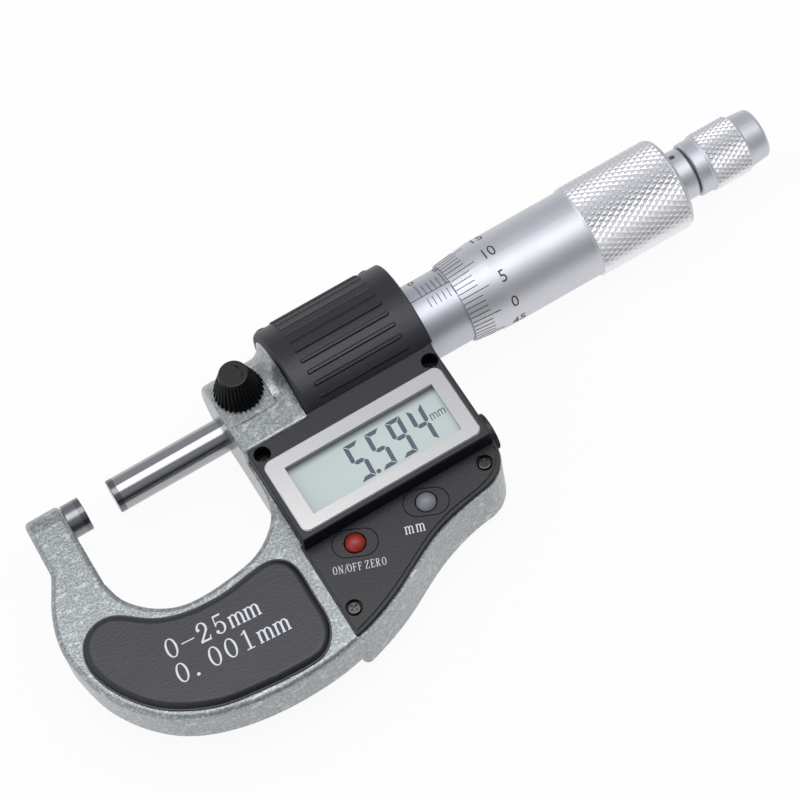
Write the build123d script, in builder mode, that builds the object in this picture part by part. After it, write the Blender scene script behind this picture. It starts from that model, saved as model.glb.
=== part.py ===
from build123d import *
import math
import os

# Digital outside micrometer, 0 to 25 mm
# Origin at the centre of the anvil's measuring face, +X along the spindle to the ratchet,
# +Z out of the display, -Y from the measuring axis to the bow. Millimetres, shown open 5.594 mm.

os.makedirs("parts", exist_ok=True)

# Driving dimensions

spindle_r = 3.175
opening = 5.594
tip_len = 1.2
tip_chamfer = 0.13

bow_half = 4.75
bow_edge_r = 1.0
arm_left = -10.5
arm_right = -3.6
arm_round_y = -1.36
back_z = -8.5
rim_z = 4.2

boss_left = 28.35
boss_r = 9.25
boss_edge_r = 1.1
boss_front = 8.9
boss_low_y = -9.8
pad_z = 8.5
pad_right = 38.1
flare_x = 38.6
drum_left = 41.2
drum_right = 66.9
drum_r = 11.4
drum_bore_r = 9.0
drum_flat_z = -11.4
floor_z = -6.7

block_left = 28.85
block_right = 66.45
block_top_y = -9.3
block_low_y = -30.0
block_top = 9.2
panel_z = 5.3

bezel_x = (29.8, 65.4)
bezel_y = (-29.15, -13.5)
window_x = (32.9, 62.5)
window_y = (-26.7, -16.3)
bezel_top = 9.5
lcd_top = 8.2
lcd_low = 6.4

cover_r = 13.0
cover_in_r = 11.5
rib_h = 0.28
rib_w = 0.95
rib_draft = 40.0
rib_root = 0.05
rib_x = (44.8, 62.8)
rib_first = 128.4
rib_step = 10.2
rib_count = 17
cover_screw_angle = 20.0

red_at = (36.7, -33.4)
grey_at = (50.9, -33.4)
insert_turn = -25.0
insert_len = 7.9
insert_w = 5.05
button_r = 1.75
button_hole_r = 2.02
dome_h = 1.1

block_screws_at = [(30.95, -11.8), (64.6, -12.1)]
panel_screws_at = [(30.6, -43.7), (63.2, -32.5)]
cap_y = -25.1
cap_z = -0.6
cap_r = 6.1
cap_boss_r = 3.5
cap_out = 68.42
cell_r = 5.8

sleeve_r = 7.33
sleeve_bore_r = 6.1
tube_r = 6.08
thread_r = 3.6
thimble_edge = 70.35 + opening
thimble_r = 8.54
knurl_r = 8.72
knurl_left = 102.2
knurl_right = 121.8
ratchet_knurl_r = 5.47
ratchet_band = (136.6, 139.9)
ratchet_end = 140.7
lock_at = (33.55, 1.67)
lock_base_z = 8.65
lock_top_z = 15.15
lock_base_r = 4.55
lock_top_r = 2.6
lock_flutes = 30
flute_r = 0.36
flute_depth = (0.34, 0.12)

panel_curve = [(66.75, -28.7), (66.75, -30.9), (64.9, -34.5), (60.8, -36.5), (55.9, -37.35),
               (50.5, -38.75), (40.2, -43.95), (32.3, -47.3), (29.1, -48.2), (28.4, -47.7)]
panel_rim_w = 0.45
panel_groove_w = 0.35
panel_groove_depth = 0.3
grip_outline = [(-12.35, -24.8), (-10.6, -22.9), (-7.8, -21.9), (-5.0, -22.4), (-2.7, -24.0), (0.5, -26.5),
                (4.2, -28.1), (9.7, -29.0), (14.85, -28.8), (20.4, -27.95), (23.4, -28.3), (25.5, -30.15),
                (26.25, -33.5), (26.15, -38.5), (25.8, -43.9), (24.5, -46.4), (22.4, -48.15), (18.5, -48.75),
                (8.7, -47.95), (3.4, -47.0), (-1.7, -44.9), (-6.25, -41.8), (-9.85, -37.6), (-12.4, -32.8),
                (-13.3, -28.3)]
grip_shoulder = [(0.3, 0.3), (0.52, 0.75), (0.92, 1.06), (1.45, 1.2)]

pcb_z = (-0.2, 0.8)
flange_r = 11.3
screw_shank_r = 0.8


def cosd(angle):
    return math.cos(math.radians(angle))


def sind(angle):
    return math.sin(math.radians(angle))


def cover_screw_planes(radius):
    """Planes square to the cover's surface at its two screws, at this distance from the axis."""
    direction = (0, cosd(cover_screw_angle), sind(cover_screw_angle))
    return [Plane(origin=(x, radius * direction[1], radius * direction[2]), x_dir=(1, 0, 0), z_dir=direction)
            for x in (43.1, 64.3)]


def moved_in(points, distance):
    """The points of a closed clockwise outline moved in, square to the line between their neighbours."""
    moved = []
    for n, (x, y) in enumerate(points):
        before = points[n - 1]
        after = points[(n + 1) % len(points)]
        run = math.hypot(after[0] - before[0], after[1] - before[1])
        moved.append((x + distance * (after[1] - before[1]) / run,
                      y - distance * (after[0] - before[0]) / run))
    return moved


# Cast frame: bow, thick housing, spindle boss and round drum in one casting

with BuildPart() as frame:
    with BuildSketch(Plane.XY):
        with BuildLine():
            Line((arm_left, 3.39), (-10.85, -9.3))
            Spline((-10.85, -9.3), (-12.25, -12.2), (-13.65, -14.95), (-14.85, -18.2), (-15.6, -21.6),
                   (-15.75, -24.0), (-15.3, -27.4), (-14.1, -32.3), (-11.5, -37.5), (-8.35, -41.5),
                   (-4.75, -44.6), (0.75, -47.4), (6.95, -49.1), (13.5, -49.9), (19.0, -49.95),
                   (24.5, -49.5), (28.35, -48.75))
            Line((28.35, -48.75), (34.0, -47.2))
            Line((34.0, -47.2), (34.0, -12.5))
            Line((34.0, -12.5), (28.35, -12.5))
            Spline((28.35, -12.5), (28.2, -16.0), (27.35, -19.75), (25.4, -22.5), (23.9, -23.8),
                   (21.0, -25.5), (17.1, -26.5), (12.5, -27.05), (8.4, -27.1), (5.5, -26.6), (3.0, -25.5),
                   (0.7, -23.85), (-1.3, -21.7), (-2.8, -18.9), (-3.45, -16.3), (arm_right, -13.0),
                   tangents=((0, -1), (0, 1)))
            Line((arm_right, -13.0), (arm_right, 3.39))
            Line((arm_right, 3.39), (arm_left, 3.39))
        make_face()
    extrude(amount=bow_half, both=True)
    # the arm's end is fully round about a line beside the measuring axis
    with BuildSketch(Plane.YZ.offset(-20)):
        with Locations((-35 + arm_round_y, 0)):
            Rectangle(70, 2 * bow_half)
        with Locations((arm_round_y, 0)):
            Circle(bow_half)
    extrude(amount=60, mode=Mode.INTERSECT)
    fillet(frame.edges().filter_by(lambda e: e.center().X < 28.0 and e.length > 2.5
                                   and not (abs(e.center().Z) < 0.5 and e.center().Y < 1)), bow_edge_r)

    # thick housing behind the display, closed at the back
    with BuildSketch(Plane.XY.offset(back_z)):
        with BuildLine():
            Line((boss_left, 0), (boss_left, -47.3))
            ThreePointArc((boss_left, -47.3), (boss_left + 0.5, -48.35), (boss_left + 1.7, -48.5))
            Spline((boss_left + 1.7, -48.5), (33.0, -47.6), (39.5, -45.0), (47.5, -40.7), (55.0, -37.8),
                   (61.5, -36.6))
            ThreePointArc((61.5, -36.6), (65.3, -34.4), (drum_right, -30.6))
            Line((drum_right, -30.6), (drum_right, 0))
            Line((drum_right, 0), (boss_left, 0))
        make_face()
    extrude(amount=rim_z - back_z)
    fillet(frame.edges().filter_by(lambda e: abs(e.center().Z - back_z) < 0.01
                                   and e.center().Y < -1 and e.length > 3), 1.0)

    # spindle boss with a rounded end and a flat front, then the flare and the drum
    with BuildSketch(Plane.XZ.offset(-2.5)):
        with BuildLine():
            Line((boss_left, 0), (boss_left, boss_front - boss_edge_r))
            RadiusArc((boss_left, boss_front - boss_edge_r), (boss_left + boss_edge_r, boss_front),
                      boss_edge_r)
            Line((boss_left + boss_edge_r, boss_front), (drum_left, boss_front))
            Line((drum_left, boss_front), (drum_left, 0))
            Line((drum_left, 0), (boss_left, 0))
        make_face()
    extrude(amount=2.5 - boss_low_y)
    fillet(frame.edges().filter_by(lambda e: abs(e.center().Y - boss_low_y) < 0.01
                                   and abs(e.center().Z - boss_front) < 0.01), 0.7)
    with BuildSketch(Plane.XZ):
        with BuildLine():
            Line((boss_left, 0), (boss_left, boss_r - boss_edge_r))
            RadiusArc((boss_left, boss_r - boss_edge_r), (boss_left + boss_edge_r, boss_r), boss_edge_r)
            Line((boss_left + boss_edge_r, boss_r), (flare_x, boss_r))
            ThreePointArc((flare_x, boss_r), (40.3, 9.9), (drum_left, drum_r))
            Line((drum_left, drum_r), (drum_right, drum_r))
            Line((drum_right, drum_r), (drum_right, 0))
            Line((drum_right, 0), (boss_left, 0))
        make_face()
    revolve(axis=Axis.X)
    # flat under the drum that the tool lies on
    with BuildSketch(Plane.XY.offset(drum_flat_z)):
        with Locations(((drum_left + drum_right) / 2 + 0.3, -2.6)):
            Rectangle(drum_right - drum_left - 0.6, 10.4)
    extrude(amount=4.0)

    # seat of the front cover, leaving a narrow lip of the bow's face along the display block
    with BuildSketch(Plane.XY.offset(rim_z)):
        Polygon((boss_left, -55), (boss_left, -28.65), (28.8, -28.65), (28.8, -12.0), (40.0, -12.0),
                (40.0, -55), align=None)
    extrude(amount=2.0, mode=Mode.SUBTRACT)

    # sunk pad for the lock knob, its hole and the spindle's bore
    with BuildSketch(Plane.XY.offset(pad_z)):
        with BuildLine():
            Line((27.0, -2.8), (28.4, -3.2))
            ThreePointArc((28.4, -3.2), (29.3, -4.0), (30.6, -4.25))
            Line((30.6, -4.25), (pad_right - 0.8, -4.25))
            ThreePointArc((pad_right - 0.8, -4.25), (pad_right - 0.23, -4.0), (pad_right, -3.45))
            Line((pad_right, -3.45), (pad_right, 8.0))
            Line((pad_right, 8.0), (27.0, 8.0))
            Line((27.0, 8.0), (27.0, -2.8))
        make_face()
    extrude(amount=6.0, mode=Mode.SUBTRACT)
    fillet(frame.edges().filter_by(lambda e: abs(e.center().Z - boss_front) < 0.01
                                   and abs(e.center().Y + 4.25) < 0.02), 0.3)
    with Locations((lock_at[0], lock_at[1], 6.0)):
        Cylinder(1.6, 8.0, mode=Mode.SUBTRACT)
    with BuildSketch(Plane.YZ.offset(boss_left - 1)):
        Circle(spindle_r + 0.025)
    extrude(amount=20.0, mode=Mode.SUBTRACT)
    with BuildSketch(Plane.YZ.offset(arm_left - 1)):
        Circle(2.2)
    extrude(amount=9.0, mode=Mode.SUBTRACT)

    # encoder chamber, open to the right, and the seat of the end flange
    with BuildSketch(Plane.YZ.offset(44.0)):
        Circle(drum_bore_r)
    extrude(amount=30.0, mode=Mode.SUBTRACT)
    with BuildSketch(Plane.YZ.offset(64.9)):
        Circle(flange_r + 0.05)
    extrude(amount=5.0, mode=Mode.SUBTRACT)
    with BuildSketch(Plane.YZ.offset(60.0)):
        with PolarLocations(10.2, 3, start_angle=90):
            Circle(0.65)
    extrude(amount=6.0, mode=Mode.SUBTRACT)

    # electronics pocket with screw posts and three rests for the board
    with BuildSketch(Plane.XY.offset(floor_z)):
        with BuildLine():
            Line((30.2, -13.2), (30.2, -46.3))
            Spline((30.2, -46.3), (33.3, -45.6), (39.2, -43.2), (47.0, -39.0), (54.6, -36.1), (61.2, -34.9))
            ThreePointArc((61.2, -34.9), (63.6, -33.9), (64.9, -31.9))
            Line((64.9, -31.9), (64.9, -13.2))
            Line((64.9, -13.2), (30.2, -13.2))
        make_face()
    extrude(amount=20.0, mode=Mode.SUBTRACT)
    with BuildSketch(Plane.XY.offset(floor_z - 0.5)):
        with Locations(*panel_screws_at):
            Circle(2.2)
    extrude(amount=rim_z - floor_z + 0.5)
    with BuildSketch(Plane.XY.offset(floor_z - 0.5)):
        with Locations((34.0, -17.0), (57.0, -17.0), (38.0, -40.0)):
            Circle(1.3)
    extrude(amount=pcb_z[0] - floor_z + 0.5)
    with BuildSketch(Plane.XY.offset(rim_z - 4.5)):
        with Locations(*panel_screws_at, *block_screws_at):
            Circle(screw_shank_r + 0.05)
    extrude(amount=6.0, mode=Mode.SUBTRACT)

    # round hole for the battery cap in the right wall
    with BuildSketch(Plane.YZ.offset(63.0)):
        with Locations((cap_y, cap_z)):
            Circle(cap_r + 0.05)
    extrude(amount=6.0, mode=Mode.SUBTRACT)
    with BuildSketch(Plane.YZ.offset(60.2)):
        with Locations((cap_y, cap_z)):
            Circle(cell_r + 0.15)
    extrude(amount=4.0, mode=Mode.SUBTRACT)
    with BuildSketch(*cover_screw_planes(9.4)):
        Circle(0.65)
    extrude(amount=4.0, mode=Mode.SUBTRACT)

frame.part.label = "frame"
export_step(frame.part, "parts/frame.step")

# Anvil with a reduced shank pressed in the arm, and its carbide tip

with BuildPart() as anvil:
    with BuildSketch(Plane.YZ.offset(arm_left + 0.5)):
        Circle(2.19)
    extrude(amount=-tip_len - arm_left - 0.5)
    with BuildSketch(Plane.YZ.offset(arm_right + 0.1)):
        Circle(spindle_r)
    extrude(amount=-tip_len - arm_right - 0.1)

anvil.part.label = "anvil"
export_step(anvil.part, "parts/anvil.step")

with BuildPart() as anvil_tip:
    with BuildSketch(Plane.YZ.offset(-tip_len)):
        Circle(spindle_r)
    extrude(amount=tip_len)
    chamfer(anvil_tip.edges().group_by(Axis.X)[-1], tip_chamfer)

anvil_tip.part.label = "anvil_tip"
export_step(anvil_tip.part, "parts/anvil_tip.step")

# Spindle: measuring rod with a keyway, threaded middle and tapered thimble seat

with BuildPart() as spindle:
    with BuildSketch(Plane.XZ):
        with BuildLine():
            Polyline((opening + tip_len, 0), (opening + tip_len, spindle_r), (69.3, spindle_r),
                     (69.6, thread_r), (104.0, thread_r), (104.3, 3.3), (107.6, 3.3), (107.6, 3.5),
                     (117.6, 3.1), (117.6, 0), (opening + tip_len, 0))
        make_face()
    revolve(axis=Axis.X)
    with BuildSketch(Plane.YZ.offset(110.0)):
        Circle(1.6)
    extrude(amount=8.0, mode=Mode.SUBTRACT)
    with BuildSketch(Plane.XY.offset(-spindle_r - 1)):
        with Locations((44.1, 0)):
            SlotOverall(28.0, 1.0)
    extrude(amount=1.6, mode=Mode.SUBTRACT)

spindle.part.label = "spindle"
export_step(spindle.part, "parts/spindle.step")

with BuildPart() as spindle_tip:
    with BuildSketch(Plane.YZ.offset(opening)):
        Circle(spindle_r)
    extrude(amount=tip_len)
    chamfer(spindle_tip.edges().group_by(Axis.X)[0], tip_chamfer)

spindle_tip.part.label = "spindle_tip"
export_step(spindle_tip.part, "parts/spindle_tip.step")

# End flange in one piece with the screw tube, slit so the nut can take up play

with BuildPart() as inner_tube:
    with BuildSketch(Plane.YZ.offset(64.95)):
        Circle(flange_r)
    extrude(amount=1.85)
    with BuildSketch(Plane.YZ.offset(66.0)):
        Circle(tube_r)
    extrude(amount=35.5)
    with BuildSketch(Plane.YZ.offset(60.0)):
        Circle(thread_r + 0.05)
    extrude(amount=45.0, mode=Mode.SUBTRACT)
    with BuildSketch(Plane.YZ.offset(88.0)):
        with PolarLocations(4.5, 3):
            Rectangle(5.0, 0.5)
    extrude(amount=14.0, mode=Mode.SUBTRACT)
    with BuildSketch(Plane.YZ.offset(60.0)):
        with PolarLocations(10.2, 3, start_angle=90):
            Circle(0.65)
    extrude(amount=8.0, mode=Mode.SUBTRACT)
    with BuildSketch(Plane.YZ.offset(66.1)):
        with PolarLocations(10.2, 3, start_angle=90):
            Circle(1.05)
    extrude(amount=2.0, mode=Mode.SUBTRACT)

inner_tube.part.label = "inner_tube"
export_step(inner_tube.part, "parts/inner_tube.step")

with BuildPart() as flange_screws:
    with BuildSketch(Plane.YZ.offset(61.0)):
        with PolarLocations(10.2, 3, start_angle=90):
            Circle(0.6)
    extrude(amount=5.6)
    with BuildSketch(Plane.YZ.offset(66.1)):
        with PolarLocations(10.2, 3, start_angle=90):
            Circle(1.0)
    extrude(amount=0.65)

flange_screws.part.label = "flange_screws"
export_step(flange_screws.part, "parts/flange_screws.step")

with BuildPart() as adjusting_nut:
    with BuildSketch(Plane.YZ.offset(98.3)):
        Circle(6.95)
        Circle(tube_r + 0.02, mode=Mode.SUBTRACT)
        with PolarLocations(6.95, 2, start_angle=90):
            Rectangle(0.9, 0.9, mode=Mode.SUBTRACT)
    extrude(amount=3.0)

adjusting_nut.part.label = "adjusting_nut"
export_step(adjusting_nut.part, "parts/adjusting_nut.step")

# Graduated sleeve with the small spanner hole used to set its zero

with BuildPart() as sleeve:
    with BuildSketch(Plane.YZ.offset(66.85)):
        Circle(sleeve_r)
        Circle(sleeve_bore_r, mode=Mode.SUBTRACT)
    extrude(amount=31.2)
    chamfer(sleeve.edges().group_by(Axis.X)[-1], 0.15)
    with Locations((69.2, 0, -sleeve_r)):
        Cylinder(0.5, 2.0, mode=Mode.SUBTRACT)

sleeve.part.label = "sleeve"
export_step(sleeve.part, "parts/sleeve.step")

# Thimble: bevelled reading edge, plain body, knurled grip and the seat on the spindle's taper

with BuildPart() as thimble:
    with BuildSketch(Plane.XZ):
        with BuildLine():
            Polyline((thimble_edge, 7.43), (thimble_edge, 7.74), (thimble_edge + 6.6, 8.5),
                     (thimble_edge + 7.2, thimble_r), (knurl_left - 0.25, thimble_r),
                     (knurl_left, thimble_r + 0.1), (knurl_left + 0.4, knurl_r),
                     (knurl_right - 0.7, knurl_r), (knurl_right - 0.25, 8.5),
                     (knurl_right, 8.0), (knurl_right, 5.0), (knurl_right - 2.0, 4.9),
                     (knurl_right - 2.0, 3.05), (118.4, 3.05), (118.4, 3.12), (107.7, 3.52), (107.7, 5.0),
                     (118.3, 5.6), (118.3, 7.43), (thimble_edge, 7.43))
        make_face()
    revolve(axis=Axis.X)

thimble.part.label = "thimble"
export_step(thimble.part, "parts/thimble.step")

# Ratchet stem: spanner neck, bearing core for the knob, screwed into the spindle's end

with BuildPart() as ratchet_stem:
    with BuildSketch(Plane.XZ):
        with BuildLine():
            Polyline((110.5, 0), (110.5, 1.55), (117.9, 1.55), (117.9, 2.9), (119.85, 2.9), (119.85, 4.7),
                     (knurl_right - 0.1, 4.7), (knurl_right - 0.1, 4.86), (125.2, 4.86), (125.5, 4.6),
                     (125.5, 3.3), (130.2, 3.3), (130.2, 1.8), (136.2, 1.8), (136.2, 0), (110.5, 0))
        make_face()
    revolve(axis=Axis.X)
    with BuildSketch(Plane.YZ.offset(131.0)):
        Circle(1.0)
    extrude(amount=6.0, mode=Mode.SUBTRACT)
    for turn in (70, 250):
        with BuildSketch(Plane(origin=(123.45, 3.5 * cosd(turn), 3.5 * sind(turn)), x_dir=(1, 0, 0),
                               z_dir=(0, cosd(turn), sind(turn)))):
            Circle(0.55)
        extrude(amount=3.0, mode=Mode.SUBTRACT)

ratchet_stem.part.label = "ratchet_stem"
export_step(ratchet_stem.part, "parts/ratchet_stem.step")

# Ratchet knob with its toothed pawl ring, spring and end screw

with BuildPart() as ratchet_knob:
    with BuildSketch(Plane.XZ):
        with BuildLine():
            Polyline((125.8, 3.35), (125.8, 5.1), (126.0, 5.3), (128.2, 5.3), (128.5, ratchet_knurl_r),
                     (136.2, ratchet_knurl_r), (ratchet_band[0], 5.15), (ratchet_band[1], 4.86))
            ThreePointArc((ratchet_band[1], 4.86), (ratchet_end - 0.22, 4.62), (ratchet_end, 4.1))
            Polyline((ratchet_end, 4.1), (ratchet_end, 2.6), (139.6, 2.6), (139.6, 1.1), (137.2, 1.1),
                     (137.2, 4.2), (128.6, 4.2), (128.6, 3.35), (125.8, 3.35))
        make_face()
    revolve(axis=Axis.X)

ratchet_knob.part.label = "ratchet_knob"
export_step(ratchet_knob.part, "parts/ratchet_knob.step")

with BuildPart() as ratchet_pawl:
    with BuildSketch(Plane.YZ.offset(130.9)):
        Circle(4.1)
        Circle(1.85, mode=Mode.SUBTRACT)
    extrude(amount=1.4)
    with BuildSketch(Plane.YZ.offset(130.6)):
        Circle(3.9)
        Circle(2.2, mode=Mode.SUBTRACT)
        with PolarLocations(3.0, 12):
            Rectangle(3.0, 0.8, mode=Mode.SUBTRACT)
    extrude(amount=0.4)

ratchet_pawl.part.label = "ratchet_pawl"
export_step(ratchet_pawl.part, "parts/ratchet_pawl.step")

with BuildPart() as ratchet_spring:
    with BuildLine() as coil:
        Helix(pitch=1.05, height=3.6, radius=2.9, center=(132.95, 0, 0), direction=(1, 0, 0))
    with BuildSketch(Plane(origin=coil.line @ 0, x_dir=(1, 0, 0), z_dir=coil.line % 0)):
        Rectangle(0.45, 0.5)
    sweep(is_frenet=True)

ratchet_spring.part.label = "ratchet_spring"
export_step(ratchet_spring.part, "parts/ratchet_spring.step")

with BuildPart() as ratchet_screw:
    with BuildSketch(Plane.YZ.offset(132.0)):
        Circle(0.95)
    extrude(amount=8.0)
    with BuildSketch(Plane.YZ.offset(139.65)):
        Circle(2.4)
    extrude(amount=0.9)
    with BuildSketch(Plane.YZ.offset(140.05)):
        Rectangle(6.0, 0.6)
    extrude(amount=1.0, mode=Mode.SUBTRACT)

ratchet_screw.part.label = "ratchet_screw"
export_step(ratchet_screw.part, "parts/ratchet_screw.step")

# Encoder: fixed stator ring, rotor disc and the keyed bush that the spindle turns

with BuildPart() as stator:
    with BuildSketch(Plane.YZ.offset(44.05)):
        Circle(drum_bore_r - 0.05)
        Circle(4.0, mode=Mode.SUBTRACT)
    extrude(amount=1.4)

stator.part.label = "stator"
export_step(stator.part, "parts/stator.step")

with BuildPart() as rotor:
    with BuildSketch(Plane.YZ.offset(46.0)):
        Circle(8.2)
        Circle(4.42, mode=Mode.SUBTRACT)
    extrude(amount=1.2)

rotor.part.label = "rotor"
export_step(rotor.part, "parts/rotor.step")

with BuildPart() as rotor_bush:
    with BuildSketch(Plane.XZ):
        with BuildLine():
            Polyline((46.0, 3.2), (46.0, 4.4), (47.2, 4.4), (47.2, 5.6), (49.4, 5.6), (49.4, 4.4),
                     (63.4, 4.4), (63.4, 3.2), (46.0, 3.2))
        make_face()
    revolve(axis=Axis.X)
    with BuildSketch(Plane.XY.offset(-3.5)):
        with Locations((51.0, 0)):
            Rectangle(2.0, 0.86)
    extrude(amount=0.85)

rotor_bush.part.label = "rotor_bush"
export_step(rotor_bush.part, "parts/rotor_bush.step")

# Ribbed half shell over the drum

with BuildPart() as cover:
    with BuildSketch(Plane.YZ.offset(drum_left)):
        Circle(cover_r)
        Circle(cover_in_r, mode=Mode.SUBTRACT)
        with Locations(Rotation(0, 0, 45) * Location((-20, 0, 0))):
            Rectangle(40, 60, mode=Mode.SUBTRACT)
    extrude(amount=67.0 - drum_left)
    fillet(cover.edges().group_by(Axis.X)[0].filter_by(GeomType.CIRCLE).sort_by(SortBy.RADIUS)[-1], 1.0)
    chamfer(cover.edges().group_by(Axis.X)[-1].filter_by(GeomType.CIRCLE).sort_by(SortBy.RADIUS)[-1], 0.25)
    rib_mid = (rib_x[0] + rib_x[1]) / 2
    rib_planes = []
    for n in range(rib_count):
        direction = (0, cosd(rib_first - n * rib_step), sind(rib_first - n * rib_step))
        low = cover_r - rib_root
        rib_planes.append(Plane(origin=(rib_mid, low * direction[1], low * direction[2]), x_dir=(1, 0, 0),
                                z_dir=direction))
    # each rib has sloping flanks, so that it leaves the mould
    with BuildSketch(*rib_planes):
        SlotOverall(rib_x[1] - rib_x[0], rib_w)
    extrude(amount=rib_root + rib_h, taper=rib_draft)
    with BuildSketch(*cover_screw_planes(11.0)):
        Circle(0.65)
    extrude(amount=3.0, mode=Mode.SUBTRACT)
    with BuildSketch(*cover_screw_planes(12.2)):
        Circle(1.25)
    extrude(amount=3.0, mode=Mode.SUBTRACT)

cover.part.label = "cover"
export_step(cover.part, "parts/cover.step")

with BuildPart() as cover_screws:
    with BuildSketch(*cover_screw_planes(9.7)):
        Circle(0.6)
    extrude(amount=2.8)
    with BuildSketch(*cover_screw_planes(12.25)):
        Circle(1.15)
    extrude(amount=1.05)
    fillet(cover_screws.edges().filter_by(GeomType.CIRCLE).filter_by(lambda e: e.radius > 1.0)
           .filter_by(lambda e: (e.center().Y ** 2 + e.center().Z ** 2) ** 0.5 > 13.0), 0.7)

cover_screws.part.label = "cover_screws"
export_step(cover_screws.part, "parts/cover_screws.step")

# Front cover: raised display block and low button panel in one moulding

with BuildPart() as front_cover:
    with BuildSketch(Plane.XY.offset(rim_z)):
        with BuildLine():
            Line((28.4, -28.7), (28.4, -47.7))
            ThreePointArc((28.4, -47.7), (28.6, -48.1), panel_curve[-2])
            Spline(*panel_curve[3:-1])
            ThreePointArc(*panel_curve[1:4])
            Line(panel_curve[0], panel_curve[1])
            Line(panel_curve[0], (28.4, -28.7))
        make_face()
    extrude(amount=panel_z - rim_z)
    panel_edges = front_cover.faces().sort_by(Axis.Z)[-1].outer_wire().edges()
    fillet(panel_edges.filter_by(lambda e: e.center().Y < -29.5), 0.12)
    # fine groove that runs beside the panel's curved edge, and a step along its straight left edge
    with BuildSketch(Plane.XY.offset(panel_z - panel_groove_depth)):
        low = moved_in(panel_curve, panel_rim_w)[1:-1]
        high = moved_in(panel_curve, panel_rim_w + panel_groove_w)[1:-1]
        with BuildLine():
            Spline(*low)
            Line(low[-1], high[-1])
            Spline(*high)
            Line(high[0], low[0])
        make_face()
        with Locations((28.4, -38.6)):
            Rectangle(0.9, 19.8)
    extrude(amount=1.0, mode=Mode.SUBTRACT)
    with BuildSketch(Plane.XY.offset(rim_z)):
        Polygon((block_left, block_low_y), (block_right, block_low_y), (block_right, block_top_y),
                (drum_left, block_top_y), (drum_left, -10.1), (block_left, -10.1), align=None)
    extrude(amount=block_top - rim_z)
    fillet(front_cover.edges().filter_by(lambda e: abs(e.center().Z - block_top) < 0.01
                                         and e.center().Y < -12), 0.4)
    # room for the round drum
    with BuildSketch(Plane.YZ.offset(36.0)):
        Circle(drum_r + 0.1)
    extrude(amount=40.0, mode=Mode.SUBTRACT)
    # inside of the block and the window
    with BuildSketch(Plane.XY.offset(rim_z - 1)):
        with Locations(((30.1 + 65.2) / 2, (-28.7 - 13.8) / 2)):
            Rectangle(65.2 - 30.1, 28.7 - 13.8)
    extrude(amount=lcd_top - rim_z + 1, mode=Mode.SUBTRACT)
    with BuildSketch(Plane.XY.offset(lcd_top - 1)):
        with Locations(((window_x[0] + window_x[1]) / 2, (window_y[0] + window_y[1]) / 2)):
            Rectangle(window_x[1] - window_x[0] + 1.2, window_y[1] - window_y[0] + 1.2)
    extrude(amount=3.0, mode=Mode.SUBTRACT)
    # deep screw wells in the block, shallow ones in the panel
    with BuildSketch(Plane.XY.offset(5.9)):
        with Locations(*block_screws_at):
            Circle(1.55)
    extrude(amount=5.0, mode=Mode.SUBTRACT)
    with BuildSketch(Plane.XY.offset(rim_z + 0.3)):
        with Locations(*panel_screws_at):
            Circle(1.55)
    extrude(amount=5.0, mode=Mode.SUBTRACT)
    with BuildSketch(Plane.XY.offset(rim_z - 1)):
        with Locations(*panel_screws_at, *block_screws_at):
            Circle(screw_shank_r + 0.05)
    extrude(amount=3.0, mode=Mode.SUBTRACT)
    # openings for the button inserts
    with BuildSketch(Plane.XY.offset(rim_z - 1)):
        with Locations(Location((*red_at, 0), (0, 0, insert_turn)),
                       Location((*grey_at, 0), (0, 0, insert_turn))):
            SlotOverall(insert_len + 0.3, insert_w + 0.3)
    extrude(amount=3.0, mode=Mode.SUBTRACT)
    # edge of the battery cap's hole
    with BuildSketch(Plane.YZ.offset(60.2)):
        with Locations((cap_y, cap_z)):
            Circle(cap_r + 0.2)
    extrude(amount=9.0, mode=Mode.SUBTRACT)

front_cover.part.label = "front_cover"
export_step(front_cover.part, "parts/front_cover.step")

# Four alike cross-head screws: two deep in the block, two in the panel

with BuildPart() as front_screws:
    for (sx, sy), seat in zip(block_screws_at + panel_screws_at, (5.9, 5.9, rim_z + 0.3, rim_z + 0.3)):
        with BuildSketch(Plane.XY.offset(seat - 4.4)):
            with Locations((sx, sy)):
                Circle(screw_shank_r)
        extrude(amount=4.5)
        with BuildSketch(Plane.XY.offset(seat)):
            with Locations((sx, sy)):
                Circle(1.25)
        extrude(amount=0.7)
        with BuildSketch(Plane.XY.offset(seat + 0.3)):
            with Locations(Location((sx, sy, 0), (0, 0, 25))):
                SlotOverall(1.6, 0.42)
            with Locations(Location((sx, sy, 0), (0, 0, 115))):
                SlotOverall(1.6, 0.42)
        extrude(amount=0.6, mode=Mode.SUBTRACT)
    head_tops = (5.9 + 0.7, rim_z + 0.3 + 0.7)
    fillet(front_screws.edges().filter_by(GeomType.CIRCLE).filter_by(
        lambda e: e.radius > 1.2 and min(abs(e.center().Z - top) for top in head_tops) < 0.01), 0.35)

front_screws.part.label = "front_screws"
export_step(front_screws.part, "parts/front_screws.step")

# Bezel with a lip down to the display glass

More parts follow.
